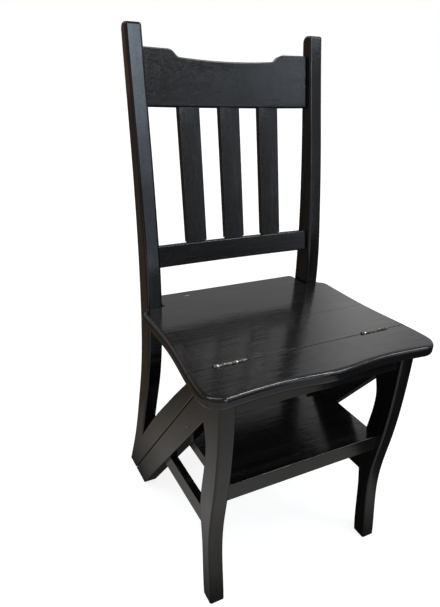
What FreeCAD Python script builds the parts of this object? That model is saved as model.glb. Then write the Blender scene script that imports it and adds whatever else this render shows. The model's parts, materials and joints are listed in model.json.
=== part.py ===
import FreeCAD, Part
import math
import os

# A chair that turns over into a four-step ladder. The seat is split across near its front, and two
# butt hinges join the halves there. The front half is the base: front legs, lower diagonals, the
# low step and the front strip of the seat. The rear half is the flip: posts, back, upper diagonals,
# main seat and two more treads. Turned half way round over the front, the posts stand on the floor.
# Millimetres. X to the sitter's left, Y to the back, Z up. Sizes below are measured from the hinge
# line, and each finished piece is then moved so that the origin is on the floor at the middle of the
# chair's length and width.

Vec = FreeCAD.Vector

# Driving dimensions
seat_height = 450.0
seat_thickness = 21.0
fold_gap = 1.0
frame_half_width = 186.5
frame_thickness = 27.5
seam_gap = 1.5
seam_foot_y = 338.0
seam_top_y = -4.0
rail_thickness = 20.0
tread_thickness = 20.0

# Heights and planes that follow from them
seat_bottom = seat_height - seat_thickness
hinge_z = seat_height + fold_gap / 2
total_height = 2 * hinge_z
inner_face = frame_half_width - frame_thickness
seat_front_y = -84.0
rear_foot_y = 378.0
middle_y = (seat_front_y + rear_foot_y) / 2
seam_slope = (seam_foot_y - seam_top_y) / seat_bottom
seam_angle = math.atan(seam_slope)

# Side profile of a post and rear leg, as (y, z) from the top down
post_front = [(304, total_height), (284.5, 800), (264, 700), (243, 580), (233, 510), (229.5, 450),
              (231, 370), (242, 293), (256.5, 240), (279, 159), (290, 110), (306, 35), (312, 0)]
post_rear = [(328, total_height), (312, 800), (296, 700), (281, 580), (275.5, 510), (273, 450),
             (274.5, 365), (282, 303), (297.5, 235), (317.5, 160), (335, 105), (355, 54),
             (rear_foot_y, 0)]

# Side profile of a front leg, as (y, z) from the top down
leg_front = [(-58.5, seat_bottom), (-58.5, 370), (-56.5, 300), (-52, 245), (-45, 190), (-41.5, 145),
             (-44.5, 90), (-51, 45), (-57, 0)]
leg_rear = [(-9, seat_bottom), (-4, 360), (-13, 330), (-14, 300), (-7, 245), (-3, 175), (-11, 130),
            (-19, 65), (-23, 30), (-28, 0)]

# Outer edges of the two diagonals, as (y, z) from the top down. The upper one is a slight curve that
# runs on down inside the rear leg, the lower one is straight and its top is hidden in the front leg.
toe_front_y = 281.0
upper_diagonal_edge = [(24, seat_bottom), (66, 385), (105, 344), (142, 303), (181, 260), (230, 202),
                       (281, 137), (322, 78), (350, 0)]
lower_diagonal_edge = [(-45, seat_bottom), (-45, 410), (toe_front_y, 0)]

# Seat outline seen from above, right half, as (x, y)
seat_front_edge = [(0, seat_front_y), (45, -80.5), (100, -76.5), (150, -78.5), (188, -82)]
seat_side_edge = [(217, -52), (216, -20), (208, 50), (204, 90), (202, 150), (202.5, 208)]
seat_corner_middle = (208.5, -73)
ear_corner_middle = (199, 222)
ear_rear_y = 228.5
tongue_rear_y = 285.0
tongue_corner = 12.0
seat_edge_radius = 7.0
plank_joint_y = 100.0
split_edge_chamfer = 0.35

# Back
crest_bottom = 784.0
crest_shoulder_height = 88.0
crest_middle_height = 75.0
crest_step_inner = 91.0
crest_step_middle = 99.5
crest_step_outer = 113.0
crest_end_setback = 11.0
crest_bow = 9.0
low_rail_bottom = 521.5
low_rail_height = 38.0
low_rail_end_setback = 11.0
low_rail_bow = 6.0
back_rail_thickness = 16.0
back_rake = math.atan((284.5 - 243) / (800 - 580))
slat_width = 40.0
slat_thickness = 12.0
slat_spacing = 79.0
slat_inset = 2.0
slat_housing = 1.0
slat_tenon_length = 9.0
slat_tenon_thickness = 8.0
tenon_length = 14.0
tenon_shoulder = 8.0
tenon_thickness = 10.0

# Low step, stretchers, treads and seat rails
step_top = 247.0
step_thickness = 21.0
step_rear_y = 122.0
step_rail_front_y = -40.0
step_rail_height = 32.0
stretcher_bottom = 140.0
stretcher_height = 34.0
stretcher_thickness = 14.0
apron_front_y = -50.0
rail_bottom = 395.0
rear_rail_front_y = 239.0
side_rail_front_y = 4.0
side_rail_thickness = 18.0
middle_tread_bottom = 211.0
middle_tread_y = (134.0, 220.0)
top_tread_bottom = 54.0
top_tread_y = (300.0, 362.0)
tread_side_clearance = 1.0
corner_block_size = 32.0

# Hinges and fasteners
hinge_inner_x = 113.0
hinge_length = 56.0
knuckle_count = 5
knuckle_radius = 2.8
knuckle_gap = 0.3
hinge_pin_radius = 1.3
hinge_pin_fit = 0.05
barrel_clearance = 0.5
leaf_thickness = 1.6
leaf_depth = 17.0
leaf_edge_clearance = 0.15
hinge_screw_length = 16.0
hinge_screw_radius = 1.5
hinge_screw_head = 2.9
screw_radius = 2.2
screw_head_radius = 4.2
screw_head_height = 3.0
screw_length = 38.0
plug_radius = 5.0
plug_depth = 6.0
seat_screw_length = 30.0

wood_edge_radius = 2.0
slat_edge_radius = 1.5
post_edge_radius = 4.0
post_top_radius = 11.0
leg_edge_radius = 3.5


def block(x_range, y_range, z_range):
    """Return a box between three pairs of coordinates."""
    low = Vec(min(x_range), min(y_range), min(z_range))
    size = [abs(pair[1] - pair[0]) for pair in (x_range, y_range, z_range)]
    return Part.makeBox(size[0], size[1], size[2], low)


def rod(start, direction, length, radius):
    """Return a cylinder from a start point along a direction."""
    return Part.makeCylinder(radius, length, Vec(*start), Vec(*direction))


def spline(points, first_direction=None, last_direction=None):
    """Return a smooth edge through points, with its end directions if they are given."""
    curve = Part.BSplineCurve()
    if first_direction is None:
        curve.interpolate(points)
    else:
        curve.interpolate(Points=points, InitialTangent=first_direction, FinalTangent=last_direction)
    return curve.toShape()


def side_points(profile, x):
    """Turn (y, z) pairs into points on the plane at x."""
    return [Vec(x, y, z) for y, z in profile]


def side_solid(edges, x_low, x_high):
    """Extrude a closed outline drawn at x_low across to x_high."""
    wire = Part.Wire(Part.__sortEdges__(edges))
    return Part.Face(wire).extrude(Vec(x_high - x_low, 0, 0))


def profile_solid(front, rear, x_low, x_high):
    """Return a member whose front and rear edges are smooth curves and whose ends are level."""
    front_points = side_points(front, x_low)
    rear_points = side_points(rear, x_low)
    edges = [
        spline(front_points),
        Part.makeLine(front_points[-1], rear_points[-1]),
        spline(rear_points),
        Part.makeLine(rear_points[0], front_points[0]),
    ]
    return side_solid(edges, x_low, x_high)


def mirrored(shape):
    """Return the shape reflected to the other side of the chair."""
    return shape.mirror(Vec(0, 0, 0), Vec(1, 0, 0))


def fillet(shape, radius, wanted):
    """Round the edges that the test picks."""
    return shape.makeFillet(radius, [edge for edge in shape.Edges if wanted(edge)])


def runs_along_x(edge):
    """Say whether an edge is a straight one along X."""
    box = edge.BoundBox
    return box.XLength > 1 and box.YLength < 0.01 and box.ZLength < 0.01


def is_long_side_edge(edge):
    """Say whether an edge is one of the long curved ones of a leg or post."""
    box = edge.BoundBox
    return box.XLength < 0.01 and box.ZLength > 100


def seam_y(z):
    """Return where the plane between the diagonals stands at a height."""
    return seam_foot_y - seam_slope * z


def seam_side(rear_side):
    """Return a large wedge on the rear or front side of the seam, half of the gap away from it."""
    reach = 1200
    low_z = -100
    high_z = 1000
    shift = seam_gap / 2 / math.cos(seam_angle)
    if not rear_side:
        reach = -reach
        shift = -shift
    corners = [
        Vec(-reach, seam_y(low_z) + shift, low_z),
        Vec(-reach, seam_y(high_z) + shift, high_z),
        Vec(-reach, seam_y(high_z) + shift + reach, high_z),
        Vec(-reach, seam_y(low_z) + shift + reach, low_z),
    ]
    face = Part.Face(Part.makePolygon(corners + [corners[0]]))
    return face.extrude(Vec(2 * reach, 0, 0))


def post_blank():
    """Return a post with its rear leg, its top rounded off to the rear, before its mortises."""
    solid = profile_solid(post_front, post_rear, inner_face, frame_half_width)
    top_front_y = post_front[0][0]
    top_rear_y = post_rear[0][0]

    def across_top_at(edge, y):
        box = edge.BoundBox
        return runs_along_x(edge) and box.ZMin > total_height - 0.01 and abs(box.YMin - y) < 0.01

    def on_side_or_top_front(edge):
        box = edge.BoundBox
        on_side = box.XLength < 0.01 and box.ZMax > 1
        return on_side or across_top_at(edge, top_front_y)

    solid = fillet(solid, post_top_radius, lambda edge: across_top_at(edge, top_rear_y))
    solid = fillet(solid, post_edge_radius, on_side_or_top_front)
    return solid.common(seam_side(True))


def front_leg_blank():
    """Return a front leg, before its mortises."""
    solid = profile_solid(leg_front, leg_rear, inner_face, frame_half_width)
    return fillet(solid, leg_edge_radius, is_long_side_edge)


def straight_edges(points):
    """Return the straight edges that join points in turn."""
    return [Part.makeLine(a, b) for a, b in zip(points, points[1:])]


def diagonal_blank(outer_edges, first, last, rear_side):
    """Return a diagonal between the seam and its outer edges, which run from first to last."""
    past_seam = Vec(0, -200 if rear_side else 200, 0)
    edges = outer_edges + straight_edges([last, last + past_seam, first + past_seam, first])
    return side_solid(edges, inner_face, frame_half_width).common(seam_side(rear_side))


def upper_diagonal_shape(post):
    """Return the upper diagonal, which dies into the rear leg."""
    points = side_points(upper_diagonal_edge, inner_face)
    solid = diagonal_blank([spline(points)], points[0], points[-1], True)
    solid = fillet(solid, wood_edge_radius, is_long_side_edge)
    return solid.cut(post)


def lower_diagonal_shape(leg):
    """Return the lower diagonal, which dies into the front leg and stands on its own toe."""
    points = side_points(lower_diagonal_edge, inner_face)
    solid = diagonal_blank(straight_edges(points), points[0], points[-1], False)
    solid = fillet(solid, wood_edge_radius, is_long_side_edge)
    return solid.cut(leg)


def seat_blank():
    """Return the whole seat in one piece, with its outer edges rounded over."""
    def right(x, y):
        return Vec(x, y, seat_bottom)

    def left(x, y):
        return Vec(-x, y, seat_bottom)

    edges = []
    front_right = [right(*p) for p in seat_front_edge]
    front_left = [left(*p) for p in reversed(seat_front_edge)]
    edges.append(spline(front_left + front_right[1:]))
    for at in (right, left):
        side = [at(*p) for p in seat_side_edge]
        edges.append(Part.Arc(at(*seat_front_edge[-1]), at(*seat_corner_middle), side[0]).toShape())
        edges.append(spline(side))
        ear_end = at(frame_half_width + 4, ear_rear_y)
        edges.append(Part.Arc(side[-1], at(*ear_corner_middle), ear_end).toShape())
        edges.append(Part.makeLine(ear_end, at(inner_face, ear_rear_y)))
        tongue_side = at(inner_face, tongue_rear_y - tongue_corner)
        edges.append(Part.makeLine(at(inner_face, ear_rear_y), tongue_side))
        bend = tongue_corner * (1 - math.sqrt(0.5))
        middle = at(inner_face - bend, tongue_rear_y - bend)
        tongue_end = at(inner_face - tongue_corner, tongue_rear_y)
        edges.append(Part.Arc(tongue_side, middle, tongue_end).toShape())
    tongue_x = inner_face - tongue_corner
    edges.append(Part.makeLine(right(tongue_x, tongue_rear_y), left(tongue_x, tongue_rear_y)))
    wire = Part.Wire(Part.__sortEdges__(edges))
    solid = Part.Face(wire).extrude(Vec(0, 0, seat_thickness))

    def on_outline(edge):
        box = edge.BoundBox
        level = box.ZLength < 0.01
        in_notch = box.YMin > ear_rear_y - 0.01 and box.YMax < tongue_rear_y - tongue_corner + 0.01
        return level and not in_notch

    return fillet(solid, seat_edge_radius, on_outline)


def seat_band(y_low, y_high):
    """Return a slab that covers the seat between two lines across it."""
    wide = 2 * frame_half_width
    return block((-wide, wide), (y_low, y_high), (seat_bottom - 5, seat_height + 5))


def seat_piece(seat, y_low, y_high):
    """Return the part of the seat between two lines across it."""
    return seat.common(seat_band(y_low, y_high))


def split_bevel():
    """Return a bar on edge that eases both sawn top edges where the hinges part the seat."""
    wide = 2 * frame_half_width
    reach = seam_gap / 2 + split_edge_chamfer
    section = [(-reach, 0), (0, -reach), (reach, 0), (0, reach), (-reach, 0)]
    corners = [Vec(-wide, y, seat_height + z) for y, z in section]
    return Part.Face(Part.makePolygon(corners)).extrude(Vec(2 * wide, 0, 0))


def bow_radius(bow):
    """Return the radius of a back rail that stands back by its bow at the middle."""
    return (inner_face * inner_face + bow * bow) / (2 * bow)


def bowed_rail(bottom_z, height, end_setback, bow, tenon_height, top_cutter=None):
    """Return a back rail that curves back in plan, leans with the posts and has end tenons."""
    half = inner_face
    radius = bow_radius(bow)
    centre_y = end_setback + bow - radius
    outer = Part.makeCylinder(radius + back_rail_thickness, height, Vec(0, centre_y, 0))
    inner = Part.makeCylinder(radius, height, Vec(0, centre_y, 0))
    band = outer.cut(inner).common(block((-half, half), (-half, half), (0, height)))
    if top_cutter is not None:
        band = band.cut(top_cutter)
    band = band.makeFillet(wood_edge_radius, band.Edges)
    tenon_y = end_setback + (back_rail_thickness - tenon_thickness) / 2
    tenon_z = (height - tenon_height) / 2
    for side in (-1, 1):
        ends = (side * (half - 3), side * (half + tenon_length))
        tenon = block(ends, (tenon_y, tenon_y + tenon_thickness), (tenon_z, tenon_z + tenon_height))
        band = band.fuse(tenon)
    return lean_back(band, bottom_z)


def lean_back(shape, bottom_z):
    """Tilt a shape to the rake of the posts and set it at a height on their front line."""
    turned = shape.copy()
    turned.rotate(Vec(0, 0, 0), Vec(1, 0, 0), -math.degrees(back_rake))
    turned.translate(Vec(0, post_front_y(bottom_z), bottom_z))
    return turned


def post_front_y(z):
    """Return the front face of the posts at a height, between the lower rail and the top."""
    upper_y, upper_z = post_front[1]
    lower_y, lower_z = post_front[3]
    return lower_y + (z - lower_z) * (upper_y - lower_y) / (upper_z - lower_z)


def crest_cutter():
    """Return what lies above the stepped top line of the crest, before it leans back."""
    tall = 200
    deep = 200
    inner_x = crest_step_inner
    outer_x = crest_step_outer
    middle_z = (crest_middle_height + crest_shoulder_height) / 2
    sag = 1.5
    step = [(inner_x, crest_middle_height + sag), (crest_step_middle, middle_z),
            (outer_x, crest_shoulder_height)]
    right_step = [Vec(x, -deep, z) for x, z in step]
    left_step = [Vec(-x, -deep, z) for x, z in reversed(step)]
    dip = Vec(0, -deep, crest_middle_height - sag)
    dip_end_slope = 4 * sag / inner_x
    shoulder = inner_face + 1
    right_end = Vec(shoulder, -deep, crest_shoulder_height)
    left_end = Vec(-shoulder, -deep, crest_shoulder_height)
    right_top = Vec(shoulder, -deep, tall)
    left_top = Vec(-shoulder, -deep, tall)
    edges = [
        Part.Arc(left_step[-1], dip, right_step[0]).toShape(),
        spline(right_step, Vec(1, 0, dip_end_slope), Vec(1, 0, 0)),
        Part.makeLine(right_step[-1], right_end),
        Part.makeLine(right_end, right_top),
        Part.makeLine(right_top, left_top),
        Part.makeLine(left_top, left_end),
        Part.makeLine(left_end, left_step[0]),
        spline(left_step, Vec(1, 0, 0), Vec(1, 0, -dip_end_slope)),
    ]
    wire = Part.Wire(Part.__sortEdges__(edges))
    return Part.Face(wire).extrude(Vec(0, 2 * deep, 0))


def crest_rail_shape():
    """Return the stepped and bowed top rail of the back."""
    tenon_height = crest_shoulder_height - 2 * tenon_shoulder
    return bowed_rail(crest_bottom, crest_shoulder_height, crest_end_setback, crest_bow, tenon_height,
                      crest_cutter())


def low_rail_shape():
    """Return the bowed lower rail of the back."""
    tenon_height = low_rail_height - tenon_shoulder
    return bowed_rail(low_rail_bottom, low_rail_height, low_rail_end_setback, low_rail_bow, tenon_height)


def rail_setback(x, end_setback, bow):
    """Return how far a bowed rail's front face stands behind the posts' front face."""
    radius = bow_radius(bow)
    return end_setback + bow - radius + math.sqrt(radius * radius - x * x)


def slat_shape(x):
    """Return a flat slat from the lower rail up to the crest, let into both and square to their bow."""
    low_z = low_rail_bottom + low_rail_height * math.cos(back_rake)
    low_y = post_front_y(low_z) + rail_setback(x, low_rail_end_setback, low_rail_bow) + slat_inset
    high_y = post_front_y(crest_bottom) + rail_setback(x, crest_end_setback, crest_bow) + slat_inset
    along = Vec(0, high_y - low_y, crest_bottom - low_z)
    length = along.Length
    x_range = (-slat_width / 2, slat_width / 2)
    slat = block(x_range, (0, slat_thickness), (-slat_housing, length + slat_housing))
    slat = fillet(slat, slat_edge_radius, lambda edge: edge.BoundBox.ZLength > 100)
    shoulder = (slat_thickness - slat_tenon_thickness) / 2
    tenon_x = (x_range[0] + shoulder, x_range[1] - shoulder)
    tenon = block(tenon_x, (shoulder, slat_thickness - shoulder),
                  (-slat_tenon_length, length + slat_tenon_length))
    slat = slat.fuse(tenon)
    bow_turn = (math.asin(x / bow_radius(crest_bow)) + math.asin(x / bow_radius(low_rail_bow))) / 2
    slat.rotate(Vec(0, 0, 0), Vec(0, 0, 1), -math.degrees(bow_turn))
    slat.rotate(Vec(0, 0, 0), Vec(1, 0, 0), -math.degrees(math.atan2(along.y, along.z)))
    slat.translate(Vec(x, low_y, low_z))
    return slat


def cross_rail(y_front, z_low, z_high, thickness):
    """Return a straight rail between the two side frames, its front eased, with end tenons."""
    rail = block((-inner_face, inner_face), (y_front, y_front + thickness), (z_low, z_high))

    def along_front(edge):
        return runs_along_x(edge) and edge.BoundBox.YMax < y_front + 0.01

    rail = fillet(rail, wood_edge_radius, along_front)
    tenon_y = y_front + (thickness - tenon_thickness) / 2
    reach = inner_face + tenon_length
    tenon = block((-reach, reach), (tenon_y, tenon_y + tenon_thickness),
                  (z_low + tenon_shoulder / 2, z_high - tenon_shoulder / 2))
    return rail.fuse(tenon).removeSplitter()


def stretcher_shape(leg, diagonal):
    """Return the low stretcher between a front leg and the lower diagonal."""
    middle = frame_half_width - frame_thickness / 2
    x_range = (middle - stretcher_thickness / 2, middle + stretcher_thickness / 2)
    bar = block(x_range, (-30, 190), (stretcher_bottom, stretcher_bottom + stretcher_height))
    shoulder_x = (middle - tenon_thickness / 2, middle + tenon_thickness / 2)
    shoulder_z = (stretcher_bottom + 6, stretcher_bottom + stretcher_height - 6)
    tenon = block(shoulder_x, (-16, 178), shoulder_z)
    return bar.cut(leg).cut(diagonal).fuse(tenon.common(leg)).fuse(tenon.common(diagonal)).removeSplitter()


def step_board_shape():
    """Return the board of the low step."""
    board = block((-inner_face, inner_face), (step_rail_front_y + rail_thickness, step_rear_y),
                  (step_top - step_thickness, step_top))
    return board.makeFillet(3.0, [edge for edge in board.Edges
                                  if runs_along_x(edge) and edge.BoundBox.YMin > step_rear_y - 0.01])


def tread_shape(bottom_z, y_range):
    """Return a tread board that fits between the upper side frames."""
    half = inner_face
    tread = block((-half, half), y_range, (bottom_z, bottom_z + tread_thickness))
    tread = fillet(tread, 3.0, runs_along_x)
    ahead_of_seam = block((half - tread_side_clearance, half + 1), (0, 400), (0, seat_bottom))
    ahead_of_seam = ahead_of_seam.common(seam_side(False))
    return tread.cut(ahead_of_seam).cut(mirrored(ahead_of_seam))


def side_rail_shape():
    """Return the rail that carries one side of the main seat."""
    rail = block((inner_face - side_rail_thickness, inner_face),
                 (side_rail_front_y, rear_rail_front_y), (rail_bottom, seat_bottom))
    return rail.makeChamfer(12, [edge for edge in rail.Edges
                                 if runs_along_x(edge) and edge.BoundBox.ZMax < rail_bottom + 0.01
                                 and edge.BoundBox.YMax < side_rail_front_y + 0.01])


def corner_block_shape(x_side, y_side, corner_x, corner_y):
    """Return a three-cornered glue block that fills a corner under the seat."""
    size = corner_block_size
    low_z = rail_bottom + 5
    corner = Vec(corner_x, corner_y, low_z)
    corners = [corner, corner + Vec(x_side * size, 0, 0), corner + Vec(0, y_side * size, 0), corner]
    return Part.Face(Part.makePolygon(corners)).extrude(Vec(0, 0, seat_bottom - low_z))


def knuckle_spans(first):
    """Return the x spans of every second knuckle, counted from the first given."""
    pitch = hinge_length / knuckle_count
    spans = []
    for index in range(first, knuckle_count, 2):
        start = hinge_inner_x + index * pitch + knuckle_gap / 2
        spans.append((start, start + pitch - knuckle_gap))
    return spans


def hinge_leaf(side, first):
    """Return one leaf: a plate let into the seat's edge and its rolled knuckles. side is -1 or 1."""
    near = side * seam_gap / 2
    far = near + side * leaf_thickness
    plate = block((hinge_inner_x, hinge_inner_x + hinge_length), (near, far),
                  (hinge_z - leaf_depth, hinge_z))
    other = knuckle_spans(1 - first)
    for low, high in other:
        room = rod((low - knuckle_gap, 0, hinge_z), (1, 0, 0), high - low + 2 * knuckle_gap,
                   knuckle_radius + barrel_clearance / 2)
        plate = plate.cut(room)
    leaf = plate
    for low, high in knuckle_spans(first):
        leaf = leaf.fuse(rod((low, 0, hinge_z), (1, 0, 0), high - low, knuckle_radius))
    pin_room = rod((hinge_inner_x - 1, 0, hinge_z), (1, 0, 0), hinge_length + 2,
                   hinge_pin_radius + hinge_pin_fit)
    leaf = leaf.cut(pin_room).removeSplitter()
    for place in hinge_screw_places():
        leaf = leaf.cut(hinge_screw(place, side))
    return leaf


def hinge_screw_places():
    """Return where the three screws of a leaf stand along x."""
    return [hinge_inner_x + hinge_length * share for share in (0.16, 0.5, 0.84)]


def hinge_screw(x, side):
    """Return a countersunk screw through a leaf into the seat's edge."""
    near = side * seam_gap / 2
    z = hinge_z - leaf_depth * 0.62
    head = Part.makeCone(hinge_screw_head, hinge_screw_radius, leaf_thickness,
                         Vec(x, near, z), Vec(0, side, 0))
    shank = rod((x, near, z), (0, side, 0), hinge_screw_length, hinge_screw_radius)
    return head.fuse(shank).removeSplitter()


def hinge_pin():
    """Return the pin of a hinge."""
    return rod((hinge_inner_x, 0, hinge_z), (1, 0, 0), hinge_length, hinge_pin_radius)


def barrel_room():
    """Return the space that both halves of the seat leave round a hinge's barrel."""
    return rod((hinge_inner_x - barrel_clearance, 0, hinge_z), (1, 0, 0),
               hinge_length + 2 * barrel_clearance, knuckle_radius + barrel_clearance)


def leaf_room(side):
    """Return the mortise for a hinge leaf in the edge of a seat half."""
    low_x = hinge_inner_x - leaf_edge_clearance
    high_x = hinge_inner_x + hinge_length + leaf_edge_clearance
    return block((low_x, high_x), (0, side * (seam_gap / 2 + leaf_thickness)),
                 (hinge_z - leaf_depth - leaf_edge_clearance, hinge_z + 5))


def both_sides(shape):
    """Return a shape and its reflection."""
    return [shape, mirrored(shape)]


def cut_all(shape, tools):
    """Cut every tool from a shape."""
    for tool in tools:
        shape = shape.cut(tool)
    return shape


def side_screw(y, z):
    """Return a screw driven from the outer face of the right frame into a board's end."""
    start_x = frame_half_width - plug_depth
    head = rod((start_x, y, z), (-1, 0, 0), screw_head_height, screw_head_radius)
    shank = rod((start_x, y, z), (-1, 0, 0), screw_length, screw_radius)
    return head.fuse(shank).removeSplitter()


def side_plug(y, z):
    """Return the wooden plug that hides the head of a side screw."""
    return rod((frame_half_width - plug_depth, y, z), (1, 0, 0), plug_depth, plug_radius)


def seat_screw(x, y):
    """Return a screw driven up through a rail or block into the seat."""
    low_z = seat_bottom + 12 - seat_screw_length
    head = rod((x, y, low_z), (0, 0, 1), screw_head_height, screw_head_radius)
    shank = rod((x, y, low_z), (0, 0, 1), seat_screw_length, screw_radius)
    recess = rod((x, y, rail_bottom - 1), (0, 0, 1), low_z - rail_bottom + 1, screw_head_radius)
    return head.fuse(shank).removeSplitter(), recess


def write(name, shape):
    """Write one sub-part to its own file and say what it holds."""
    if isinstance(shape, list):
        shape = Part.makeCompound(shape)
    shape = shape.copy()
    shape.translate(Vec(0, -middle_y, 0))
    shape.exportStep("parts/" + name + ".step")
    solids = shape.Solids
    faults = [solid for solid in solids if not solid.isValid()]
    box = shape.optimalBoundingBox(False, False)
    print(f"{name:28s} solids {len(solids):2d} faults {len(faults)} volume {shape.Volume / 1000:8.1f} cm3 "
          f"y {box.YMin:7.1f} {box.YMax:7.1f} z {box.ZMin:6.1f} {box.ZMax:6.1f}")


def write_pair(name, right_shape):
    """Write the right and left of a handed pair. The sitter's left is at +X."""
    write(name + "_left", right_shape)
    write(name + "_right", mirrored(right_shape))


def build_back(post):
    """Write the posts, back rails and slats, and return the finished post."""
    crest = crest_rail_shape()
    low_rail = low_rail_shape()
    slats = {"left": slat_shape(slat_spacing), "middle": slat_shape(0), "right": slat_shape(-slat_spacing)}
    slat_list = list(slats.values())
    write("crest_rail", cut_all(crest, slat_list))
    write("lower_back_rail", cut_all(low_rail, slat_list))
    for place, slat in slats.items():
        write("back_slat_" + place, slat)
    return cut_all(post, [crest, low_rail])


def build_flip(post):
    """Write everything that turns over with the back."""
    post = build_back(post)
    diagonal = upper_diagonal_shape(post_blank())
    rear_rail = cross_rail(rear_rail_front_y, rail_bottom, seat_bottom, rail_thickness)
    side_rail = side_rail_shape()
    middle_tread = tread_shape(middle_tread_bottom, middle_tread_y)
    top_tread = tread_shape(top_tread_bottom, top_tread_y)
    tread_centre = tread_thickness / 2
    places = [
        (176, middle_tread_bottom + tread_centre),
        (200, middle_tread_bottom + tread_centre),
        (316, top_tread_bottom + tread_centre),
        (342, top_tread_bottom + tread_centre),
    ]
    screws = [side_screw(y, z) for y, z in places]
    plugs = [side_plug(y, z) for y, z in places]
    fasteners = screws + plugs
    post = cut_all(post, fasteners + [rear_rail])
    diagonal = cut_all(diagonal, fasteners)
    all_screws = screws + [mirrored(screw) for screw in screws]
    seat_fixings = [seat_screw(inner_face - side_rail_thickness / 2, y) for y in (48, 150)]
    seat_screws = [fixing[0] for fixing in seat_fixings]
    side_rail = cut_all(side_rail, seat_screws + [fixing[1] for fixing in seat_fixings])
    seat_screws += [mirrored(screw) for screw in seat_screws]
    block_x = inner_face - side_rail_thickness
    corner = corner_block_shape(-1, -1, block_x, rear_rail_front_y)
    write_pair("back_post", post)
    write_pair("upper_diagonal", diagonal)
    write("seat_rear_rail", rear_rail)
    write_pair("seat_side_rail", side_rail)
    write("rear_corner_blocks", both_sides(corner))
    write("middle_tread", cut_all(middle_tread, all_screws))
    write("top_tread", cut_all(top_tread, all_screws))
    write("tread_screws", all_screws)
    write("tread_plugs", plugs + [mirrored(plug) for plug in plugs])
    write("seat_screws", seat_screws)
    hinge_screws = [hinge_screw(x, 1) for x in hinge_screw_places()]
    hinge_screws += [mirrored(screw) for screw in hinge_screws]
    hinge_rooms = both_sides(barrel_room()) + both_sides(leaf_room(1))
    seat = cut_all(seat_blank(), seat_screws + hinge_screws + hinge_rooms + [split_bevel()])
    write("seat_front_plank", seat_piece(seat, seam_gap / 2, plank_joint_y))
    write("seat_rear_plank", seat_piece(seat, plank_joint_y, tongue_rear_y + 5))
    write_pair("hinge_leaf_moving", hinge_leaf(1, 1))
    write_pair("hinge_pin", hinge_pin())
    write("hinge_screws_moving", hinge_screws)


def build_base(leg):
    """Write everything that stays standing when the back turns over."""
    diagonal = lower_diagonal_shape(leg)
    stretcher = stretcher_shape(leg, diagonal)
    apron = cross_rail(apron_front_y, rail_bottom, seat_bottom, rail_thickness)
    step_rail = cross_rail(step_rail_front_y, step_top - step_rail_height, step_top, rail_thickness)
    places = [(108, 236), (-26, 236)]
    screws = [side_screw(y, z) for y, z in places]
    plugs = [side_plug(y, z) for y, z in places]
    all_screws = screws + [mirrored(screw) for screw in screws]
    block_y = apron_front_y + rail_thickness
    corner = corner_block_shape(-1, 1, inner_face, block_y)
    fixing, recess = seat_screw(inner_face - corner_block_size * 0.33, block_y + corner_block_size * 0.33)
    corner = corner.cut(fixing).cut(recess)
    strip_screws = both_sides(fixing)
    leg = cut_all(leg, [apron, step_rail, stretcher] + screws + plugs)
    diagonal = cut_all(diagonal, [stretcher] + screws + plugs)
    write_pair("front_leg", leg)
    write_pair("lower_diagonal", diagonal)
    write_pair("side_stretcher", stretcher)
    write("front_apron", apron)
    write("front_corner_blocks", both_sides(corner))
    write("step_front_rail", cut_all(step_rail, all_screws))
    write("step_board", cut_all(step_board_shape(), all_screws))
    write("step_screws", all_screws)
    write("step_plugs", plugs + [mirrored(plug) for plug in plugs])
    write("strip_screws", strip_screws)
    hinge_screws = [hinge_screw(x, -1) for x in hinge_screw_places()]
    hinge_screws += [mirrored(screw) for screw in hinge_screws]
    hinge_rooms = both_sides(barrel_room()) + both_sides(leaf_room(-1))
    seat = cut_all(seat_blank(), strip_screws + hinge_screws + hinge_rooms + [split_bevel()])
    write("seat_front_strip", seat_piece(seat, seat_front_y - 5, -seam_gap / 2))
    write_pair("hinge_leaf_fixed", hinge_leaf(-1, 0))
    write("hinge_screws_fixed", hinge_screws)


def main():
    os.makedirs("parts", exist_ok=True)
    build_flip(post_blank())
    build_base(front_leg_blank())


main()
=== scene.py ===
import bpy
import json
import math
from mathutils import Matrix, Vector

# The looks of a black lacquered chair whose seat is split and hinged, so that its back turns over
# into a step ladder. Metres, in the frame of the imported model: X to the sitter's left, Y to the
# back, Z up, origin on the floor at the middle of the chair.

# Camera, solved from the photograph's edges
camera_place = (-0.4823, -0.7509, 0.8539)
camera_yaw = math.radians(29.25)
camera_pitch = math.radians(27.0)
camera_roll = math.radians(3.03)
camera_near_limit = 0.05
picture_width = 440
focal_pixels = 534.4
axis_pixel_right_of_middle = 10.0
axis_pixel_below_middle = 30.0
sensor_width = 36.0

# Colours of the chair's materials, linear
lacquer_dark = (0.0034, 0.0031, 0.0030, 1)
lacquer_light = (0.0115, 0.0105, 0.0100, 1)
lacquer_pore = (0.0012, 0.0012, 0.0012, 1)
# Dark glue line, and painted shade in the gap of the split seat
lacquer_joint_and_painted_shade = (0.0008, 0.0008, 0.0008, 1)
lacquer_worn = (0.060, 0.042, 0.030, 1)
lacquer_speck = (0.22, 0.20, 0.175, 1)
lacquer_nick = (0.42, 0.41, 0.37, 1)
wood_dark = (0.20, 0.115, 0.060, 1)
wood_light = (0.38, 0.25, 0.145, 1)
brass_clean = (0.72, 0.66, 0.54, 1)
brass_dull = (0.030, 0.026, 0.022, 1)
steel_clean = (0.52, 0.51, 0.50, 1)
steel_dull = (0.22, 0.21, 0.20, 1)

# Gloss of the lacquer, and depths of its unevenness in metres
lacquer_ior = 1.38
swell_depth = 0.0005
wave_depth = 0.00024
pore_depth = 0.000022
level_brush_depth = 0.00020
upright_brush_depth = 0.00011

# Pieces with the deeper brush marks, by the start of a node's name
level_pieces = ("seat_", "step_board")

# How far the rubbing reaches from an edge
lacquer_rub_reach = 0.0022
metal_rub_reach = 0.0005
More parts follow.
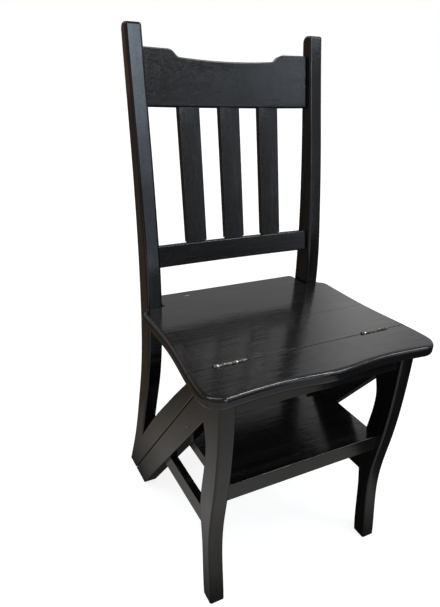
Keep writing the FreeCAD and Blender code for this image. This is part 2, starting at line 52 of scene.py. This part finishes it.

# A glue line, painted shade in the gap of the split seat, and nicks, each as the middle and the reach of an
# ellipsoid, and the pieces that have them
glue_line = ((0.0, -0.047, 0.45), (1.0, 0.00040, 1.0))
split_gap_painted_shade = ((0.0, -0.147, 0.45), (1.0, 0.0012, 1.0))
seat_nick = ((-0.0965, 0.1138, 0.45), (0.0068, 0.0016, 0.01))
diagonal_nick = ((-0.1865, -0.0905, 0.3075), (0.01, 0.0014, 0.0014))
joints_and_gap_shade_of = {
    "seat_front_strip": (split_gap_painted_shade,),
    "seat_front_plank": (split_gap_painted_shade, glue_line),
    "seat_rear_plank": (glue_line,),
}
nick_of = {"seat_rear_plank": seat_nick, "lower_diagonal_right": diagonal_nick}

# Knuckles of the hinges, along x
hinge_start_x = 0.113
knuckle_pitch = 0.0112

# Run and drop of a diagonal in its side frame
diagonal_run = 0.342
diagonal_drop = 0.429

# Turns that bring the grain of a piece on to Z
along_z = (0.0, 0.0, 0.0)
along_x = (0.0, math.radians(90), 0.0)
along_y = (math.radians(90), 0.0, 0.0)
along_diagonal = (-math.atan(diagonal_run / diagonal_drop), 0.0, 0.0)

# Grain of a piece, by the start of its node's name. In all others it runs upright.
grain_by_start = {
    "seat_": along_x,
    "crest_": along_x,
    "lower_back": along_x,
    "front_apron": along_x,
    "step_": along_x,
    "middle_tread": along_x,
    "top_tread": along_x,
    "tread_plugs": along_y,
    "side_stretcher": along_y,
    "seat_side_rail": along_y,
    "upper_diagonal": along_diagonal,
    "lower_diagonal": along_diagonal,
}

# Shift of the grain from one piece to the next, so that no two are alike
grain_shift = (0.37, 0.53, 0.71)

# Floor: its radius, and how far it lies below the feet
floor_radius = 14.0
floor_drop = 0.0005

# Colours of the floor, linear: the plain one, and those of its painted reflection, a glow that only glossy
# rays see, with painted daylight and painted shade
floor_plain = (0.30, 0.30, 0.30, 1)
floor_daylight = (0.90, 0.90, 0.88, 1)
floor_brown = (0.13, 0.095, 0.065, 1)
floor_painted_shade = (0.03, 0.028, 0.026, 1)

# Glow of the floor to the camera, weaker near the chair so that its shadow shows
near_glow = 0.85
near_glow_radius = 0.9
full_glow_radius = 2.4

# Room: its radiance, how much brighter its bright side is, and how dim it is low down
room_radiance = 0.40
bright_side = (0.709, 0.410, 0.574)
bright_side_gain = 0.8
bright_side_focus = 8.0
upward = (0.0, 0.25, 1.0)
low_share = 0.2
wall_brown = (0.24, 0.155, 0.105, 1)
white = (1, 1, 1, 1)

# Window in front of the chair: its plane, its sides, and each pane's bottom, top and radiance
window_y = -1.95
window_sides = (0.10, 0.76)
window_panes = ((1.66, 2.10, 9.0), (1.36, 1.66, 5.2), (1.00, 1.36, 2.9), (0.25, 1.00, 1.5))

# In the same plane, a bright slit and a dim pane: sides, bottom, top and radiance
bright_slit = (1.01, 1.07, 1.42, 2.00, 13.0)
dim_pane = (1.18, 1.60, 0.50, 1.42, 1.2)

# Colours of the lamps, from blue daylight to nearly white
daylight = (0.70, 0.83, 1.0)
side_daylight = (0.88, 0.93, 1.0)
long_lamp_light = (0.90, 0.95, 1.0)
ceiling_light = (0.96, 0.98, 1.0)
seat_front = (0.0, -0.2, 0.45)


class Nodes:
    """A small writer of node trees."""

    def __init__(self, owner):
        owner.use_nodes = True
        self.tree = owner.node_tree
        self.tree.nodes.clear()

    def add(self, kind, settings=None, **inputs):
        """Add a node, set its properties and fill its inputs with values or other nodes' outputs."""
        node = self.tree.nodes.new(kind)
        for name, value in (settings or {}).items():
            setattr(node, name, value)
        for name, value in inputs.items():
            self.feed(node, name.replace("_", " "), value)
        return node

    def feed(self, node, name, value):
        """Set one input, by its name or number, from a value or from another node's output."""
        socket = node.inputs[int(name)] if name.isdigit() else node.inputs[name]
        if isinstance(value, bpy.types.NodeSocket):
            self.tree.links.new(value, socket)
        else:
            socket.default_value = value

    def feed_in_order(self, node, first_input, values):
        """Set inputs that follow each other, from one number on."""
        for number, value in enumerate(values, first_input):
            self.feed(node, str(number), value)

    def place(self):
        """Return the place on the object, in metres."""
        return self.add("ShaderNodeTexCoord").outputs["Object"]

    def split(self, vector):
        """Return the three parts of a vector."""
        return self.add("ShaderNodeSeparateXYZ", Vector=vector).outputs[:]

    def math(self, operation, first, second=0.0, third=0.0, clamp=False):
        """Return the result of one sum."""
        node = self.add("ShaderNodeMath", {"operation": operation, "use_clamp": clamp})
        self.feed_in_order(node, 0, (first, second, third))
        return node.outputs[0]

    def dot(self, first, second):
        """Return how far one direction runs along another."""
        node = self.add("ShaderNodeVectorMath", {"operation": "DOT_PRODUCT"})
        self.feed_in_order(node, 0, (first, second))
        return node.outputs["Value"]

    def length(self, vector):
        """Return the length of a vector."""
        node = self.add("ShaderNodeVectorMath", {"operation": "LENGTH"})
        self.feed(node, "0", vector)
        return node.outputs["Value"]

    def ramp(self, value, low, high, to_low=0.0, to_high=1.0):
        """Return a value stretched from one range to another and held inside it."""
        node = self.add("ShaderNodeMapRange", {"clamp": True}, Value=value)
        self.feed_in_order(node, 1, (low, high, to_low, to_high))
        return node.outputs["Result"]

    def between(self, share, first, second):
        """Return a number between two numbers."""
        node = self.add("ShaderNodeMix", {"data_type": "FLOAT"})
        self.feed(node, "0", share)
        self.feed_in_order(node, 2, (first, second))
        return node.outputs[0]

    def blend(self, share, first, second):
        """Return a colour between two colours."""
        node = self.add("ShaderNodeMix", {"data_type": "RGBA"})
        self.feed(node, "0", share)
        self.feed_in_order(node, 6, (first, second))
        return node.outputs[2]

    def grey(self, level):
        """Return a colour with the same level of red, green and blue."""
        return self.add("ShaderNodeCombineXYZ", X=level, Y=level, Z=level).outputs[0]

    def noise(self, vector, scale, detail=4.0, roughness=0.55):
        """Return a smooth random value at a place."""
        node = self.add("ShaderNodeTexNoise", Vector=vector, Scale=scale, Detail=detail,
                        Roughness=roughness)
        return node.outputs["Fac"]

    def bump(self, height, distance, normal=None):
        """Return a normal tilted by a height in metres."""
        node = self.add("ShaderNodeBump", Height=height, Distance=distance, Strength=1.0)
        if normal is not None:
            self.feed(node, "Normal", normal)
        return node.outputs["Normal"]


def grain_places(nodes, place, turn, offset):
    """Return a way to stretch places along the grain and across it."""
    turned = nodes.add("ShaderNodeMapping", Vector=place, Rotation=turn, Location=offset)

    def stretched(along, across):
        node = nodes.add("ShaderNodeMapping", Vector=turned.outputs[0], Scale=(across, across, along))
        return node.outputs[0]

    return stretched


def edge_wear(nodes, reach):
    """Return 1 on sharp outer edges and 0 on flat faces."""
    rounded = nodes.add("ShaderNodeBevel", {"samples": 6}, Radius=reach).outputs[0]
    plain = nodes.add("ShaderNodeNewGeometry").outputs["Normal"]
    return nodes.ramp(nodes.dot(rounded, plain), 0.985, 0.90)


def mark(nodes, place, centre, reach):
    """Return 1 inside a small ellipsoid round a place and 0 outside it, with a soft rim."""
    local = nodes.add("ShaderNodeMapping", {"vector_type": "TEXTURE"}, Vector=place, Location=centre,
                      Scale=reach)
    return nodes.ramp(nodes.length(local.outputs[0]), 1.0, 0.55)


def lacquer(name, turn, offset, brush_depth, nick, joints_and_gap_shade):
    """Return satin black lacquer over fine grain, a little brown where the edges are rubbed, with a dark
    glue line and painted shade in the seat's split gap on the pieces that have them.
    """
    material = bpy.data.materials.new(name)
    nodes = Nodes(material)
    place = nodes.place()
    stretched = grain_places(nodes, place, turn, offset)

    # Patterns along the grain, then over the whole surface and on its edges
    streaks = nodes.noise(stretched(3.0, 70.0), 1.0, 6.0, 0.62)
    fine = nodes.noise(stretched(14.0, 520.0), 1.0, 3.0, 0.6)
    pore = nodes.ramp(nodes.noise(stretched(55.0, 1300.0), 1.0, 2.0, 0.5), 0.60, 0.72)
    wave = nodes.noise(stretched(5.0, 26.0), 1.0, 2.0, 0.5)
    brushed = nodes.noise(stretched(13.0, 170.0), 1.0, 3.0, 0.55)
    smudge = nodes.noise(place, 9.0, 4.0, 0.6)
    wear_patch = nodes.ramp(nodes.noise(place, 38.0, 6.0, 0.7), 0.48, 0.70)
    wear = nodes.math("MULTIPLY", edge_wear(nodes, lacquer_rub_reach), wear_patch)
    specks = nodes.ramp(nodes.noise(place, 310.0, 2.0, 0.5), 0.745, 0.775)
    joint_and_gap_marks = [mark(nodes, place, *seam) for seam in joints_and_gap_shade]

    # Colour
    colour = nodes.blend(nodes.ramp(streaks, 0.32, 0.70), lacquer_dark, lacquer_light)
    colour = nodes.blend(nodes.math("MULTIPLY", pore, 0.55), colour, lacquer_pore)
    colour = nodes.blend(nodes.math("MULTIPLY", wear, 0.7), colour, lacquer_worn)
    colour = nodes.blend(nodes.math("MULTIPLY", specks, 0.30), colour, lacquer_speck)
    if nick is not None:
        colour = nodes.blend(mark(nodes, place, *nick), colour, lacquer_nick)
    # Dark glue line, and painted shade in the gap of the split seat
    for dark_line in joint_and_gap_marks:
        colour = nodes.blend(dark_line, colour, lacquer_joint_and_painted_shade)

    # Roughness, a little more where the lacquer is rubbed and much more along the glue line and the seat's
    # split gap
    rough = nodes.ramp(fine, 0.25, 0.75, 0.115, 0.150)
    rough = nodes.math("ADD", rough, nodes.ramp(smudge, 0.3, 0.7, -0.02, 0.03))
    rough = nodes.math("ADD", rough, nodes.ramp(streaks, 0.35, 0.65, 0.03, -0.02))
    rough = nodes.math("ADD", rough, nodes.math("MULTIPLY", wear, 0.15), clamp=True)
    for dark_line in joint_and_gap_marks:
        rough = nodes.math("ADD", rough, nodes.math("MULTIPLY", dark_line, 0.5), clamp=True)

    # Unevenness, from the broadest to the finest
    sunk_pore = nodes.math("MULTIPLY", pore, -1.0)
    height = nodes.math("ADD", sunk_pore, nodes.math("MULTIPLY", fine, 0.25))
    normal = nodes.bump(smudge, swell_depth)
    normal = nodes.bump(wave, wave_depth, normal)
    normal = nodes.bump(brushed, brush_depth, normal)
    normal = nodes.bump(height, pore_depth, normal)

    shader = nodes.add("ShaderNodeBsdfPrincipled", Base_Color=colour, Roughness=rough, Normal=normal)
    shader.inputs["IOR"].default_value = lacquer_ior
    nodes.add("ShaderNodeOutputMaterial", Surface=shader.outputs[0])
    return material


def bare_wood(name, turn, offset):
    """Return sawn wood with no finish."""
    material = bpy.data.materials.new(name)
    nodes = Nodes(material)
    stretched = grain_places(nodes, nodes.place(), turn, offset)
    rings = nodes.noise(stretched(5.0, 90.0), 1.0, 6.0, 0.6)
    fibres = nodes.noise(stretched(40.0, 900.0), 1.0, 3.0, 0.6)
    colour = nodes.blend(nodes.ramp(rings, 0.3, 0.7), wood_dark, wood_light)
    colour = nodes.blend(nodes.ramp(fibres, 0.55, 0.75, 0.0, 0.5), colour, wood_dark)
    rough = nodes.ramp(fibres, 0.2, 0.8, 0.62, 0.85)
    normal = nodes.bump(fibres, 0.00025)
    shader = nodes.add("ShaderNodeBsdfPrincipled", Base_Color=colour, Roughness=rough, Normal=normal)
    nodes.add("ShaderNodeOutputMaterial", Surface=shader.outputs[0])
    return material


def mid_knuckle(nodes, place):
    """Return 1 at the middle of each hinge knuckle and 0 at its ends."""
    across = nodes.math("ABSOLUTE", nodes.split(place)[0])
    along = nodes.math("SUBTRACT", across, hinge_start_x)
    turn = nodes.math("MULTIPLY", along, 2 * math.pi / knuckle_pitch)
    return nodes.math("MULTIPLY_ADD", nodes.math("COSINE", turn), -0.5, 0.5)


def worn_metal(name, clean, dull, patch_scale, paint_left, knuckle_rubbing=0.0):
    """Return metal that is bright where it is rubbed and under old paint elsewhere."""
    material = bpy.data.materials.new(name)
    nodes = Nodes(material)
    place = nodes.place()
    patches = nodes.noise(place, patch_scale, 5.0, 0.65)
    if knuckle_rubbing > 0.0:
        rise = nodes.math("MULTIPLY", mid_knuckle(nodes, place), knuckle_rubbing)
        patches = nodes.math("ADD", patches, rise)
    drawn_out = nodes.add("ShaderNodeMapping", Vector=place, Scale=(4.0, 60.0, 60.0))
    scratches = nodes.noise(drawn_out.outputs[0], 40.0, 3.0, 0.6)
    rubbed = nodes.ramp(patches, paint_left, paint_left + 0.10)
    edges = nodes.math("MULTIPLY", edge_wear(nodes, metal_rub_reach), 0.5)
    rubbed = nodes.math("ADD", rubbed, edges, clamp=True)
    colour = nodes.blend(rubbed, dull, clean)
    rough = nodes.ramp(scratches, 0.3, 0.7, 0.24, 0.42)
    normal = nodes.bump(scratches, 0.00004)
    shader = nodes.add("ShaderNodeBsdfPrincipled", Base_Color=colour, Roughness=rough, Normal=normal,
                       Metallic=rubbed)
    nodes.add("ShaderNodeOutputMaterial", Surface=shader.outputs[0])
    return material


def brass(name):
    """Return the brass of the hinges, rubbed most in the middle of each knuckle."""
    return worn_metal(name, brass_clean, brass_dull, patch_scale=300.0, paint_left=0.62,
                      knuckle_rubbing=0.13)


def steel(name):
    """Return the steel of the screws."""
    return worn_metal(name, steel_clean, steel_dull, patch_scale=220.0, paint_left=0.30)


def grain_of(node):
    """Return the turn for a node, by the longest start of its name that is listed."""
    starts = [start for start in grain_by_start if node.startswith(start)]
    return grain_by_start[max(starts, key=len)] if starts else along_z


def material_of(node, slot, index):
    """Return a node's own material, by the slot that the record gives it."""
    offset = tuple(shift * index for shift in grain_shift)
    if slot == "hinge_brass":
        return brass(node + "_brass")
    if slot == "screw_steel":
        return steel(node + "_steel")
    if slot == "unpainted_wood":
        return bare_wood(node + "_wood", along_z, offset)
    brush_depth = level_brush_depth if node.startswith(level_pieces) else upright_brush_depth
    return lacquer(node + "_lacquer", grain_of(node), offset, brush_depth, nick_of.get(node),
                   joints_and_gap_shade_of.get(node, ()))


def dress(thing, material):
    """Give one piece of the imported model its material."""
    for place in thing.material_slots:
        place.material = material
    if not thing.material_slots:
        thing.data.materials.append(material)


def lamp(name, place, target, width, height, radiance, colour):
    """Add a soft rectangular lamp of a given brightness, turned to a target and unseen by the camera."""
    light = bpy.data.lights.new(name, "AREA")
    light.shape = "RECTANGLE"
    light.size = width
    light.size_y = height
    light.energy = radiance * math.pi * width * height
    light.color = colour
    thing = bpy.data.objects.new(name, light)
    bpy.context.collection.objects.link(thing)
    thing.location = place
    thing.rotation_euler = (Vector(target) - Vector(place)).to_track_quat("-Z", "Y").to_euler()
    thing.visible_camera = False


def build_window():
    """Hang a tall window in front of the chair, its panes brighter toward the top, and two more panes."""
    panes = [window_sides + pane for pane in window_panes] + [bright_slit, dim_pane]
    for number, (start, end, bottom, top, radiance) in enumerate(panes):
        middle = Vector(((start + end) / 2, window_y, (bottom + top) / 2))
        facing = Vector((middle.x, 0.0, middle.z))
        lamp("pane_%d" % number, middle, facing, end - start, top - bottom, radiance, daylight)


def build_lamps():
    """Light the front of the seat from a side window, a lamp and a long lamp under the ceiling."""
    lamp("side_window", (1.38, -1.28, 1.88), seat_front, width=0.72, height=0.56, radiance=8.5,
         colour=side_daylight)
    lamp("ceiling_lamp", (0.95, -0.86, 2.12), seat_front, width=0.30, height=0.34, radiance=26.0,
         colour=ceiling_light)
    lamp("long_lamp", (-0.65, -0.10, 2.30), seat_front, width=0.45, height=1.70, radiance=8.0,
         colour=long_lamp_light)


def share_toward(nodes, direction, target, low, high):
    """Return how nearly a direction points to a target, as a share between two of its cosines."""
    return nodes.ramp(nodes.dot(direction, Vector(target)), low, high)


def wall_behind(nodes, across, behind, up):
    """Return the wall behind the chair as its lacquer mirrors it: brown low down and dim high up.

    The turn is from straight behind toward the sitter's left, where a bright strip stands.
    """
    turn = nodes.math("ARCTAN2", across, behind)
    lit = nodes.ramp(turn, math.radians(37), math.radians(41), 0.66, 0.95)
    strip = nodes.ramp(turn, math.radians(39), math.radians(43), 0.0, 0.55)
    strip = nodes.math("MULTIPLY", strip, nodes.ramp(turn, math.radians(51), math.radians(46)))
    lit = nodes.math("ADD", lit, strip)
    dim = nodes.ramp(turn, math.radians(41), math.radians(46), 0.20, 0.50)
    level = nodes.between(nodes.ramp(up, 0.555, 0.585), lit, dim)
    return nodes.blend(nodes.ramp(up, 0.10, 0.22), wall_brown, nodes.grey(level))


def seen_through(nodes, rays):
    """Return 1 for rays that come from the camera, straight or through glass, and 0 for others."""
    return nodes.math("ADD", rays.outputs["Is Camera Ray"], rays.outputs["Is Transmission Ray"], clamp=True)


def build_world():
    """Make a room that is white to the camera, bright high up behind the sitter's left, dim low down."""
    world = bpy.data.worlds.new("room")
    bpy.context.scene.world = world
    nodes = Nodes(world)
    direction = nodes.add("ShaderNodeTexCoord").outputs["Generated"]
    across, behind, up = nodes.split(direction)
    bright = share_toward(nodes, direction, bright_side, 0.0, 1.0)
    bright = nodes.math("POWER", bright, bright_side_focus)
    level = nodes.math("ADD", room_radiance, nodes.math("MULTIPLY", bright, bright_side_gain))
    low = share_toward(nodes, direction, upward, -0.02, -0.24)
    level = nodes.math("MULTIPLY", level, nodes.ramp(low, 0.0, 1.0, 1.0, low_share))

    rays = nodes.add("ShaderNodeLightPath")
    mirrored = nodes.ramp(behind, 0.25, 0.55)
    mirrored = nodes.math("MULTIPLY", mirrored, rays.outputs["Is Glossy Ray"])
    colour = nodes.blend(mirrored, nodes.grey(level), wall_behind(nodes, across, behind, up))
    colour = nodes.blend(seen_through(nodes, rays), colour, white)
    back = nodes.add("ShaderNodeBackground", Color=colour)
    nodes.add("ShaderNodeOutputWorld", Surface=back.outputs[0])


def mirrored_floor(nodes, place):
    """Return the floor's painted reflection, a glow that only glossy rays see: painted daylight in front,
    brown behind, painted shade underneath.
    """
    across, back = nodes.split(place)[:2]
    # More painted daylight toward the front, in two steps, and a little less on the sitter's left
    near = nodes.ramp(back, 0.45, 0.0, 0.0, 0.62)
    front = nodes.ramp(back, -0.25, -0.42, 0.0, 0.38)
    daylit = nodes.math("ADD", near, front)
    daylit = nodes.math("MULTIPLY", daylit, nodes.ramp(across, -0.05, 0.20, 1.0, 0.70))
    colour = nodes.blend(daylit, floor_brown, floor_daylight)

    # Painted shade under the chair, and beyond a slanting line on the sitter's left
    beside = nodes.ramp(nodes.math("ABSOLUTE", across), 0.18, 0.27)
    before = nodes.ramp(back, -0.19, -0.30)
    clear = nodes.math("MAXIMUM", beside, before)
    shaded_side = nodes.math("MULTIPLY_ADD", back, 0.32, across)
    clear = nodes.math("MULTIPLY", clear, nodes.ramp(shaded_side, 0.215, 0.185))
    return nodes.blend(clear, floor_painted_shade, colour)


def floor_material():
    """Return a pale floor, white to the camera with a faint shadow, and to the lacquer a painted reflection
    of a room's floor.
    """
    material = bpy.data.materials.new("pale_floor")
    nodes = Nodes(material)
    rays = nodes.add("ShaderNodeLightPath")
    place = nodes.place()
    mottle = nodes.ramp(nodes.noise(place, 3.0, 3.0, 0.5), 0.3, 0.7, 0.997, 1.0)
    whiteness = nodes.ramp(nodes.length(place), near_glow_radius, full_glow_radius, near_glow, 1.0)
    glow = nodes.math("MULTIPLY", seen_through(nodes, rays), whiteness)
    glow = nodes.math("MULTIPLY", glow, mottle)

    plain = nodes.add("ShaderNodeBsdfDiffuse", Color=floor_plain)
    glowing = nodes.add("ShaderNodeEmission", Color=white, Strength=glow)
    pale = nodes.add("ShaderNodeAddShader")
    nodes.feed_in_order(pale, 0, (plain.outputs[0], glowing.outputs[0]))
    # Painted reflection for glossy rays: a glow with painted daylight and painted shade
    mirrored = nodes.add("ShaderNodeEmission", Color=mirrored_floor(nodes, place))
    chosen = nodes.add("ShaderNodeMixShader")
    nodes.feed_in_order(chosen, 0, (rays.outputs["Is Glossy Ray"], pale.outputs[0], mirrored.outputs[0]))
    nodes.add("ShaderNodeOutputMaterial", Surface=chosen.outputs[0])
    return material


def build_floor():
    """Lay a round floor under the chair."""
    corner_count = 96
    corners = []
    for number in range(corner_count):
        angle = 2 * math.pi * number / corner_count
        corners.append((floor_radius * math.cos(angle), floor_radius * math.sin(angle), -floor_drop))
    mesh = bpy.data.meshes.new("floor")
    mesh.from_pydata(corners, [], [list(range(corner_count))])
    floor = bpy.data.objects.new("floor", mesh)
    bpy.context.collection.objects.link(floor)
    floor.data.materials.append(floor_material())


def build_camera():
    """Stand the camera where the photograph was taken from."""
    ahead = Vector((math.sin(camera_yaw) * math.cos(camera_pitch),
                    math.cos(camera_yaw) * math.cos(camera_pitch),
                    -math.sin(camera_pitch)))
    level = Vector((math.cos(camera_yaw), -math.sin(camera_yaw), 0.0))
    above = level.cross(ahead)
    right = level * math.cos(camera_roll) + above * math.sin(camera_roll)
    up = above * math.cos(camera_roll) - level * math.sin(camera_roll)
    data = bpy.data.cameras.new("camera")
    data.sensor_fit = "HORIZONTAL"
    data.sensor_width = sensor_width
    data.lens = focal_pixels / picture_width * sensor_width
    data.shift_x = -axis_pixel_right_of_middle / picture_width
    data.shift_y = axis_pixel_below_middle / picture_width
    data.clip_start = camera_near_limit
    camera = bpy.data.objects.new("camera", data)
    bpy.context.collection.objects.link(camera)
    turn = Matrix((right, up, -ahead)).transposed()
    camera.matrix_world = Matrix.Translation(camera_place) @ turn.to_4x4()
    bpy.context.scene.camera = camera


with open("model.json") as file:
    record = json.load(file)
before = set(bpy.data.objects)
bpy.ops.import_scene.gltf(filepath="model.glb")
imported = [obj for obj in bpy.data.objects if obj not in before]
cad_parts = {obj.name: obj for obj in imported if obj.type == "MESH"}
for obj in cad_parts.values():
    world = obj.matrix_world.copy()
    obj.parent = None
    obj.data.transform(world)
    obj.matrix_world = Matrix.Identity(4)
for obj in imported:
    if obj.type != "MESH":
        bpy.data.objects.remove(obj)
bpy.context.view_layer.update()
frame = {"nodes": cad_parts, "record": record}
slot_of = {entry["node"]: entry["material_slot"] for entry in frame["record"]["subparts"]}
for number, node_name in enumerate(sorted(frame["nodes"])):
    dress(frame["nodes"][node_name], material_of(node_name, slot_of[node_name], number))
build_floor()
build_world()
build_window()
build_lamps()
build_camera()
bpy.context.scene.view_settings.view_transform = "Standard"
